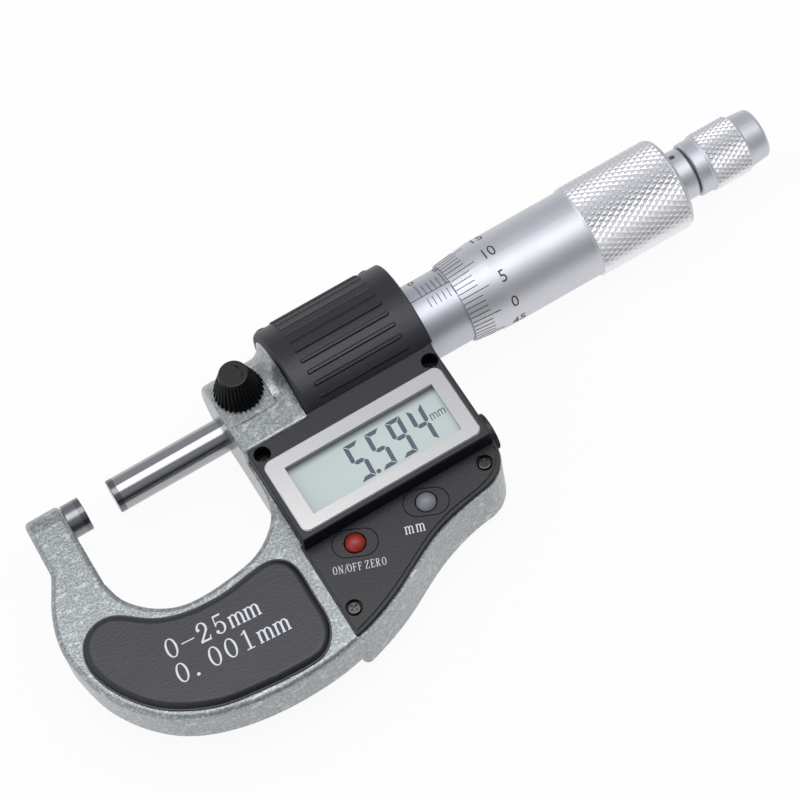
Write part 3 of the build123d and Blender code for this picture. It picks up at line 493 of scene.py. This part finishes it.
# %% Sleeve graduations
SLEEVE_RADIUS = 7.33
SLEEVE_ANGLE = 85.2  # where the long line lies, in degrees from +Y to +Z
SLEEVE_LINE = 0.13
ZERO_MARK = 70.35
FIFTH_MARK_END, MARK_END, NUMBER_MIDDLE = 27.7, 20.0, 39.7  # in degrees above the long line
HALF_MARK = (6.5, 21.1)  # in degrees below it


def arc(degrees):
    return math.radians(degrees) * SLEEVE_RADIUS


sleeve_print = bmesh.new()
half = SLEEVE_LINE / 2
bar(sleeve_print, 67.1, 98.0, -half, half)
for number in range(26):
    x = ZERO_MARK + number
    bar(sleeve_print, x - half, x + half, half, arc(FIFTH_MARK_END if number % 5 == 0 else MARK_END))
    if number < 25:
        bar(sleeve_print, x + 0.5 - half, x + 0.5 + half, -arc(HALF_MARK[1]), -arc(HALF_MARK[0]))
    if number % 5 == 0:
        print_text(sleeve_print, str(number), 2.75, (x, arc(NUMBER_MIDDLE)), stretch=0.9)
roll_marks("sleeve_graduations", sleeve_print, (-arc(22.0), arc(50.0), 0.4), lambda x: SLEEVE_RADIUS,
           SLEEVE_RADIUS, SLEEVE_ANGLE, "frame")

# %% [markdown]
# ## Thimble graduations
#
# The thimble has 50 lines. Its screw has a pitch of 0.5 mm, so each line is a hundredth of a
# millimetre. The reading edge is a cone, which the roll follows with a radius that depends on X.

# %% Thimble graduations
THIMBLE_RADIUS = 8.54
THIMBLE_ANGLE = 154.3  # where its zero lies, in degrees from +Y to +Z
THIMBLE_LINE = 0.15
THIMBLE_EDGE = 75.944
FIFTH_LINE_END, LINE_END, FIGURE_MIDDLE = 81.53, 79.8, 84.5


def thimble_radius(x):
    """The thimble's bevelled reading edge rises from 7.74 to 8.54 mm over 7.2 mm."""
    rise = min(max((x - THIMBLE_EDGE) / 6.6, 0.0), 1.0)
    last = min(max((x - THIMBLE_EDGE - 6.6) / 0.6, 0.0), 1.0)
    return 7.74 + 0.76 * rise + 0.04 * last


thimble_print = bmesh.new()
half = THIMBLE_LINE / 2
for number in range(50):
    y = math.radians(360 / 50 * number) * THIMBLE_RADIUS
    end = FIFTH_LINE_END if number % 5 == 0 else LINE_END
    bar(thimble_print, THIMBLE_EDGE + 0.05, end, y - half, y + half)
    if number % 5 == 0:
        print_text(thimble_print, str(number), 3.3, (FIGURE_MIDDLE, y + 0.12), stretch=0.9)
roll_marks("thimble_graduations", thimble_print, (-2.0, 2 * math.pi * THIMBLE_RADIUS, 0.5), thimble_radius,
           THIMBLE_RADIUS, THIMBLE_ANGLE, "spindle")

# %% [markdown]
# ## Display segments
#
# A liquid crystal display draws a digit with seven bars, mitred where they meet, with a hair of
# clear cell between them, and leans them a little. Each bar is a rectangle whose ends are cut off
# along the digit's diagonals. The reading is the distance between the measuring faces, 5.594 mm.

# %% Display segments
DIGIT_WIDTH = 2.9
DIGIT_HEIGHT = 7.72
BAR_WIDTH = 0.80
HAIR = 0.07  # from a mitre to the end of its bar
LEAN = 0.057
DIGIT_PLACES = (43.25, 47.5, 51.67, 55.93)
DIGIT_FOOT = -25.6
DISPLAY_FACE = 8.215
SEGMENT_THICKNESS = 0.02
W, H, B = DIGIT_WIDTH, DIGIT_HEIGHT, BAR_WIDTH
LEFT, RIGHT = (B / 2, H / 2), (W - B / 2, H / 2)  # where the middle bar ends
BARS = {
    "top": ((0, W, H - B, H), [((0, H), (-1, -1)), ((W, H), (1, -1))]),
    "low": ((0, W, 0, B), [((0, 0), (-1, 1)), ((W, 0), (1, 1))]),
    "mid": ((0, W, H / 2 - B / 2, H / 2 + B / 2),
            [(LEFT, (-1, -1)), (LEFT, (-1, 1)), (RIGHT, (1, -1)), (RIGHT, (1, 1))]),
    "top_left": ((0, B, H / 2, H), [((0, H), (1, 1)), (LEFT, (1, -1)), (LEFT, (-1, -1))]),
    "top_right": ((W - B, W, H / 2, H), [((W, H), (-1, 1)), (RIGHT, (1, -1)), (RIGHT, (-1, -1))]),
    "low_left": ((0, B, 0, H / 2), [((0, 0), (1, -1)), (LEFT, (1, 1)), (LEFT, (-1, 1))]),
    "low_right": ((W - B, W, 0, H / 2), [((W, 0), (-1, -1)), (RIGHT, (1, 1)), (RIGHT, (-1, 1))]),
}
DIGITS = {
    "5": ["top", "top_left", "mid", "low_right", "low"],
    "9": ["top", "top_left", "top_right", "mid", "low_right", "low"],
    "4": ["top_left", "top_right", "mid", "low_right"],
}


def join(sheet, part):
    """Adds one bmesh to another and frees it."""
    carrier = bpy.data.meshes.new("carrier")
    part.to_mesh(carrier)
    part.free()
    sheet.from_mesh(carrier)
    bpy.data.meshes.remove(carrier)


def display_digit(sheet, digit, left, low):
    """Adds one leaning seven segment digit."""
    for name in DIGITS[digit]:
        limits, mitres = BARS[name]
        one = bmesh.new()
        bar(one, *limits)
        for point, way in mitres:
            out = Vector((*way, 0)).normalized()
            cut(one, Vector((*point, 0)) - out * HAIR, out)
        for vert in one.verts:
            vert.co.x += left + LEAN * (vert.co.y - H / 2)
            vert.co.y += low
        join(sheet, one)


segments = bmesh.new()
for digit, left in zip("5594", DIGIT_PLACES):
    display_digit(segments, digit, left, DIGIT_FOOT)
bmesh.ops.create_circle(segments, cap_ends=True, segments=20, radius=0.42,
                        matrix=Matrix.Translation((46.57, -25.2, 0)))
print_text(segments, "mm", 2.75, (60.72, -21.1), stretch=0.74, lean=LEAN)
bmesh.ops.translate(segments, vec=(0, 0, DISPLAY_FACE), verts=segments.verts)
bmesh.ops.solidify(segments, geom=segments.faces, thickness=SEGMENT_THICKNESS)
liquid_crystal = filled_ink("liquid_crystal", "5C6170")
make_piece("display_segments", segments, liquid_crystal, "frame")

# %% [markdown]
# ## Stamped lettering
#
# The plate shows the measuring range and the resolution, and the panel says what the buttons do, all
# hot stamped in white. The type is a light serif face, which Blender does not carry, so its letters are
# drawn here from two shapes: a straight stroke of some width, and a bowl that is thick at its sides and
# thin at top and bottom. Each letter is first a list of strokes. Every length is in capital heights.

# %% Letter strokes
THICK = 0.105
THIN = 0.055


def stroke(x0, y0, x1, y1, width):
    return ("stroke", x0, y0, x1, y1, width)


def bowl(x, y, rx, ry, side=THICK, end=THIN, cuts=()):
    return ("bowl", x, y, rx, ry, side, end, cuts)


def stem(x, low, high, serif=0.11):
    """An upright stroke with a serif at its foot."""
    return [stroke(x, low, x, high, THICK), stroke(x - serif, low + 0.03, x + serif, low + 0.03, THIN)]


def arch(x, width, height):
    """A small m's shoulder, from a stem to the next."""
    return bowl(x + width / 2, height - 0.22, width / 2 + 0.05, 0.22, cuts=(((0, height - 0.22), (0, -1)),))


LETTERS = {
    "0": [bowl(0.29, 0.5, 0.29, 0.5)],
    "O": [bowl(0.3, 0.5, 0.3, 0.5)],
    "1": stem(0.3, 0, 1, serif=0.2) + [stroke(0.3, 0.94, 0.1, 0.84, THIN)],
    "2": [bowl(0.28, 0.7, 0.26, 0.3, cuts=(((0.1, 0.68), (-0.35, -1)),)),
          stroke(0.5, 0.6, 0.06, 0.05, 0.1), stroke(0.03, 0.05, 0.54, 0.05, 0.1),
          stroke(0.52, 0.05, 0.55, 0.24, THIN), bowl(0.1, 0.68, 0.08, 0.08, 0.08, 0.08)],
    "5": [bowl(0.27, 0.32, 0.28, 0.32, cuts=(((0.1, 0.3), (-1, 0)),)),
          stroke(0.1, 0.45, 0.13, 0.97, THIN), stroke(0.1, 0.95, 0.48, 0.95, 0.09),
          bowl(0.1, 0.17, 0.08, 0.08, 0.08, 0.08)],
    "-": [stroke(0.0, 0.45, 0.65, 0.45, THIN)],
    ".": [bowl(0.12, 0.07, 0.09, 0.08, 0.08, 0.08)],
    "m": stem(0.0, 0, 0.61, 0.09) + stem(0.285, 0, 0.5, 0.09) + stem(0.57, 0, 0.5, 0.09)
         + [stroke(-0.1, 0.59, 0.03, 0.59, THIN), arch(0.0, 0.285, 0.64), arch(0.285, 0.285, 0.64)],
    "N": [stroke(0.1, 0, 0.1, 1, THIN), stroke(0.1, 0.97, 0.55, 0.03, THICK),
          stroke(0.55, 0.03, 0.55, 1, THIN), stroke(-0.02, 0.97, 0.16, 0.97, THIN),
          stroke(-0.02, 0.03, 0.22, 0.03, THIN), stroke(0.44, 0.97, 0.68, 0.97, THIN)],
    "/": [stroke(-0.02, -0.08, 0.32, 1.08, THIN)],
    "F": stem(0.14, 0, 1) + [stroke(0.02, 0.97, 0.52, 0.97, THIN), stroke(0.5, 0.97, 0.52, 0.76, THIN),
                             stroke(0.14, 0.52, 0.38, 0.52, THIN), stroke(0.37, 0.62, 0.37, 0.42, THIN)],
    "Z": [stroke(0.04, 0.97, 0.52, 0.97, THIN), stroke(0.5, 0.95, 0.06, 0.05, THICK),
          stroke(0.04, 0.03, 0.54, 0.03, THIN), stroke(0.05, 0.97, 0.03, 0.76, THIN),
          stroke(0.53, 0.03, 0.55, 0.26, THIN)],
    "R": stem(0.14, 0, 1) + [stroke(0.02, 0.97, 0.3, 0.97, THIN), stroke(0.14, 0.5, 0.3, 0.5, THIN),
                             bowl(0.28, 0.735, 0.24, 0.265, cuts=(((0.28, 0), (-1, 0)),)),
                             stroke(0.3, 0.5, 0.54, 0.03, THICK), stroke(0.5, 0.03, 0.64, 0.03, THIN)],
}
LETTERS["E"] = LETTERS["F"] + [stroke(0.1, 0.03, 0.55, 0.03, THIN), stroke(0.53, 0.03, 0.56, 0.26, THIN)]
print("letters:", " ".join(sorted(LETTERS)))

# %% [markdown]
# ## Letters and words
#
# A stroke becomes a rectangle and a bowl becomes a ring between two ellipses, cut off along lines
# where the letter opens. In a letter each stroke lies a hair above the one before, so that they can't
# flicker where they cross. A word is its letters at the places that the plate gives them, because such
# type is widely and unevenly spaced.

# %% Draw letters and stamp words
HAIR_ABOVE = 0.0002  # in capital heights
STAMP_CLEARANCE = 0.012  # in mm, and so is the thickness
STAMP_THICKNESS = 0.02
stamp_white = filled_ink("hot_stamp_white", "E4E6EC")


def draw_stroke(x0, y0, x1, y1, width):
    """A straight stroke as a rectangle between two points."""
    part = bmesh.new()
    run = Vector((x1 - x0, y1 - y0, 0))
    place = Matrix.Translation(((x0 + x1) / 2, (y0 + y1) / 2, 0))
    turn = Matrix.Rotation(math.atan2(run.y, run.x), 4, "Z")
    size = Matrix.Diagonal((run.length, width, 1, 1))
    bmesh.ops.create_grid(part, x_segments=1, y_segments=1, size=0.5, matrix=place @ turn @ size)
    return part


def draw_bowl(x, y, rx, ry, side, end, cuts):
    """A bowl from two bridged ellipses, cut off along lines."""
    part = bmesh.new()
    for across, up in ((rx, ry), (max(rx - side, 0.001), max(ry - end, 0.001))):
        matrix = Matrix.Translation((x, y, 0)) @ Matrix.Diagonal((across, up, 1, 1))
        bmesh.ops.create_circle(part, segments=28, radius=1.0, matrix=matrix)
    bmesh.ops.bridge_loops(part, edges=part.edges[:])
    for point, way in cuts:
        cut(part, (*point, 0), (*way, 0))
    return part


def draw_letter(letter):
    """One letter in capital heights, with X 0 in its middle and Y 0 at its foot."""
    whole = bmesh.new()
    for number, (kind, *numbers) in enumerate(LETTERS[letter]):
        part = draw_stroke(*numbers) if kind == "stroke" else draw_bowl(*numbers)
        bmesh.ops.translate(part, vec=(0, 0, HAIR_ABOVE * number), verts=part.verts)
        join(whole, part)
    across = [vert.co.x for vert in whole.verts]
    bmesh.ops.translate(whole, vec=(-(min(across) + max(across)) / 2, 0, 0), verts=whole.verts)
    return whole


def stamp(sheet, letters, along, size, start, turn, surface, narrow=1.0, lean=0.0):
    """Stamps a line of letters from its start. along has the middle of each, in mm from the start."""
    for letter, distance in zip(letters, along):
        part = draw_letter(letter)
        slant = Matrix(((size * narrow, size * lean, 0, distance), (0, size, 0, 0), (0, 0, 1, 0),
                        (0, 0, 0, 1)))
        place = Matrix.Translation((*start, surface + STAMP_CLEARANCE))
        turned = Matrix.Rotation(math.radians(turn), 4, "Z")
        bmesh.ops.transform(part, matrix=place @ turned @ slant, verts=part.verts)
        join(sheet, part)


def stamped_piece(name, sheet):
    bmesh.ops.solidify(sheet, geom=sheet.faces, thickness=STAMP_THICKNESS)
    return make_piece(name, sheet, stamp_white, "frame")


# %% [markdown]
# ## Words on the plate and the panel
#
# The plate's two lines run with the bow's edge, a few degrees off X, and their letters lean a little.
# The panel's words follow the slanted row of buttons, and their letters are narrower.

# %% Words on the plate and the panel
PLATE_FACE = 5.95
PANEL_FACE = 5.3
plate = {"size": 3.7, "turn": LETTERING_TURN, "surface": PLATE_FACE, "lean": 0.045}
plate_words = bmesh.new()
stamp(plate_words, "0-25mm", (0.0, 3.0, 6.0, 9.0, 12.05, 15.0), start=(0.37, -35.36), **plate)
stamp(plate_words, "0.001mm", (0.0, 2.41, 6.13, 9.15, 12.25, 15.4, 18.5), start=(-0.13, -40.28), **plate)
stamped_piece("range_lettering", plate_words)
button_words = bmesh.new()
stamp(button_words, "ON/OFFZERO", (0.0, 1.01, 1.89, 2.52, 3.43, 4.35, 5.61, 6.57, 7.52, 8.56), size=1.5,
      start=(30.94, -36.77), turn=-20.3, surface=PANEL_FACE, narrow=0.84)
stamp(button_words, "mm", (0.0, 1.96), size=2.4, start=(45.53, -37.11), turn=-19.0, surface=PANEL_FACE,
      narrow=0.86)
stamped_piece("button_lettering", button_words)

# %% [markdown]
# ## Arrow on the lock knob
#
# A small raised arrow on the knob shows which way it locks. Its curved shaft is a piece of a thin ring,
# and its barbs and tail are short strokes. The sheet starts inside the knob, so that no gap shows, and
# its top stands 0.3 mm proud.

# %% Arrow on the lock knob
KNOB_AXIS = (33.55, 1.67)
ARROW_FOOT = 15.11
ARROW_THICKNESS = 0.34
ARROW_LINE = 0.22
arrow = draw_bowl(0, 0, 1.7, 1.7, ARROW_LINE, ARROW_LINE, (((0, 0), (-0.77, 0.64)), ((0, 0), (-0.71, -0.71))))
for ends in ((1.1, -1.1, 1.55, -0.98), (1.1, -1.1, 1.15, -0.62), (1.1, 0.75, 1.03, -0.5)):
    join(arrow, draw_stroke(*ends, ARROW_LINE))
bmesh.ops.translate(arrow, vec=(*KNOB_AXIS, ARROW_FOOT), verts=arrow.verts)
bmesh.ops.solidify(arrow, geom=arrow.faces, thickness=ARROW_THICKNESS)
heights = [vert.co.z for vert in arrow.verts]
print("the arrow stands from", round(min(heights), 2), "to", round(max(heights), 2), "mm")
make_piece("lock_arrow", arrow, knob_abs, "lock")

# %% [markdown]
# ## White card
#
# Such a tool is photographed on white card. The card takes the tool's shadow as a matt surface, but
# what the camera and a reflection see of it is mostly an even white glow, so that it stays white
# without more light on the tool.

# %% White card
CARD_GLOW = 0.93  # the share of the glow in what is seen
card_sheet = bmesh.new()
bmesh.ops.create_grid(card_sheet, x_segments=1, y_segments=1, size=3.0)
bmesh.ops.translate(card_sheet, vec=(0, 0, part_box("frame")[0].z), verts=card_sheet.verts)
floor_mesh = bpy.data.meshes.new("floor")
card_sheet.to_mesh(floor_mesh)
card_sheet.free()
floor = bpy.data.objects.new("floor", floor_mesh)
bpy.context.scene.collection.objects.link(floor)

card, _, card_output = new_material("white_card")
paths = add_node(card, "ShaderNodeLightPath")
seen = add_node(card, "ShaderNodeMath",
                {0: paths.outputs["Is Camera Ray"], 1: paths.outputs["Is Glossy Ray"]}, operation="MAXIMUM")
seen_too = add_node(card, "ShaderNodeMath",
                    {0: seen.outputs[0], 1: paths.outputs["Is Transmission Ray"]}, operation="MAXIMUM")
share = add_node(card, "ShaderNodeMath", {0: seen_too.outputs[0], 1: CARD_GLOW}, operation="MULTIPLY")
matt = add_node(card, "ShaderNodeBsdfDiffuse", {"Color": hex_colour("F2F2F2")})
glow = add_node(card, "ShaderNodeEmission", {"Color": (1, 1, 1, 1), "Strength": 1.0})
card_mix = add_node(card, "ShaderNodeMixShader",
                    {0: share.outputs[0], 1: matt.outputs[0], 2: glow.outputs[0]})
card.node_tree.links.new(card_mix.outputs[0], card_output.inputs["Surface"])
floor_mesh.materials.append(card)

# %% [markdown]
# ## Soft box
#
# One large soft box hangs level over the thimble and shines straight down. It is turned so that its
# long side runs across the picture. It is longer than the tool, so that the round pieces carry one
# unbroken highlight from end to end.

# %% Soft box
soft_box = bpy.data.lights.new("overhead_box", "AREA")
soft_box.shape = "RECTANGLE"
soft_box.size = 0.52
soft_box.size_y = 0.236
soft_box.energy = 0.86
soft_box_object = bpy.data.objects.new("overhead_box", soft_box)
bpy.context.scene.collection.objects.link(soft_box_object)
soft_box_object.location = (0.095, -0.018, 0.40)
soft_box_object.rotation_euler = (0.0, 0.0, math.radians(-30.3))
print("the soft box gives", round(soft_box.energy, 2), "W from", round(soft_box.size, 2), "by",
      round(soft_box.size_y, 2), "m")

# %% [markdown]
# ## Room
#
# Polished steel shows what is round it, so the room matters as much as the lamp. Its walls are pale
# grey. They are dark round -Y, low on the viewer's side, which gives the round pieces a dark edge
# there. On the anvil's side, -X, they are more than twice as bright, and light the faces that look
# that way. A colour ramp over the direction's Y and a factor over its X do this.

# %% Room
world = bpy.data.worlds.new("studio")
bpy.context.scene.world = world
world.use_nodes = True
direction = add_node(world, "ShaderNodeTexCoord")
parts = add_node(world, "ShaderNodeSeparateXYZ", {0: direction.outputs["Generated"]})
spread = add_node(world, "ShaderNodeMapRange", {"Value": parts.outputs["Y"], "From Min": -1.0})
walls = add_node(world, "ShaderNodeValToRGB", {"Fac": spread.outputs["Result"]})
colour_ramp(walls, [(0.0, "1C1E20"), (0.025, "404245"), (0.06, "808285"), (0.12, "A2A4A7"), (0.5, "B4B6B9"),
                    (0.9, "C2C4C8")])
left_side = add_node(world, "ShaderNodeMapRange",
                     {"Value": parts.outputs["X"], "From Min": -1.0, "From Max": -0.2, "To Min": 2.3,
                      "To Max": 1.0})
lit = add_node(world, "ShaderNodeVectorMath",
               {0: walls.outputs["Color"], "Scale": left_side.outputs["Result"]}, operation="SCALE")
background = world.node_tree.nodes["Background"]
background.inputs["Strength"].default_value = 1.0
world.node_tree.links.new(lit.outputs["Vector"], background.inputs["Color"])
bpy.context.scene.view_settings.view_transform = "Standard"
print("the walls have", len(walls.color_ramp.elements), "greys, the view is",
      bpy.context.scene.view_settings.view_transform)
